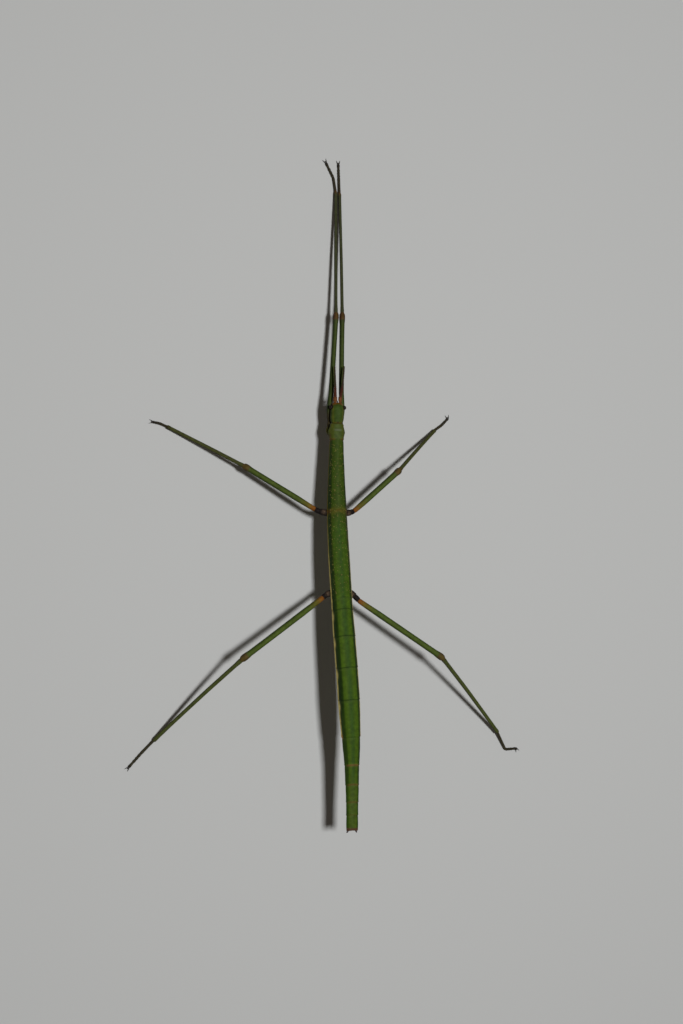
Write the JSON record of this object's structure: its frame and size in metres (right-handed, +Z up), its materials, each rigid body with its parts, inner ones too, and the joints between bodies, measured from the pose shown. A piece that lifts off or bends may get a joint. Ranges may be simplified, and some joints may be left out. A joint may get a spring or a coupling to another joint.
{
  "type": "stick insect",
  "caption": "Still life-size model of a long slender green stick insect, front legs stretched ahead and the others spread, standing on its feet.",
  "frame": {"origin": "on the floor under the middle of the insect's bounding box, with the soles at z = 0", "axes": "+Y the way the head points, along the body; +X the insect's right; +Z up"},
  "size_m": [0.1456, 0.237, 0.0277],
  "materials": {
    "green": "body skin: soft-gloss green with dark and cream stripes along it",
    "head_green": "head skin: soft-gloss green with yellow-green cheeks",
    "leg_green": "thigh skin: soft-gloss green, orange-red near the hip",
    "hip_brown": "hip pieces: soft-gloss dark brown",
    "shin_olive": "shin skin: soft-gloss olive green",
    "foot_brown": "foot skin and claws: satin brown",
    "feeler_brown": "feelers and palps: satin pinkish brown",
    "eye_black": "eyes: glossy black-brown with fine facets",
    "tail_brown": "cerci: satin reddish brown"
  },
  "bodies": {
    "root": {"abdomen_10": "green", "abdomen_2": "green", "abdomen_3": "green", "abdomen_4": "green", "abdomen_5": "green", "abdomen_6": "green", "abdomen_7": "green", "abdomen_8": "green", "abdomen_9": "green", "antenna_left": "feeler_brown", "antenna_right": "feeler_brown", "cercus_left": "tail_brown", "cercus_right": "tail_brown", "eye_left": "eye_black", "eye_right": "eye_black", "fore_left_coxa": "hip_brown", "fore_left_femur": "leg_green", "fore_left_tarsus": "foot_brown", "fore_left_tibia": "shin_olive", "fore_left_trochanter": "hip_brown", "fore_right_coxa": "hip_brown", "fore_right_femur": "leg_green", "fore_right_tarsus": "foot_brown", "fore_right_tibia": "shin_olive", "fore_right_trochanter": "hip_brown", "head": "head_green", "hind_left_coxa": "hip_brown", "hind_left_femur": "leg_green", "hind_left_tarsus": "foot_brown", "hind_left_tibia": "shin_olive", "hind_left_trochanter": "hip_brown", "hind_right_coxa": "hip_brown", "hind_right_femur": "leg_green", "hind_right_tarsus": "foot_brown", "hind_right_tibia": "shin_olive", "hind_right_trochanter": "hip_brown", "median_segment": "green", "mesothorax": "green", "metathorax": "green", "mid_left_coxa": "hip_brown", "mid_left_femur": "leg_green", "mid_left_tarsus": "foot_brown", "mid_left_tibia": "shin_olive", "mid_left_trochanter": "hip_brown", "mid_right_coxa": "hip_brown", "mid_right_femur": "leg_green", "mid_right_tarsus": "foot_brown", "mid_right_tibia": "shin_olive", "mid_right_trochanter": "hip_brown", "mouthparts": "head_green", "operculum": "green", "palp_left": "feeler_brown", "palp_right": "feeler_brown", "prothorax": "green"}
  },
  "joints": []
}
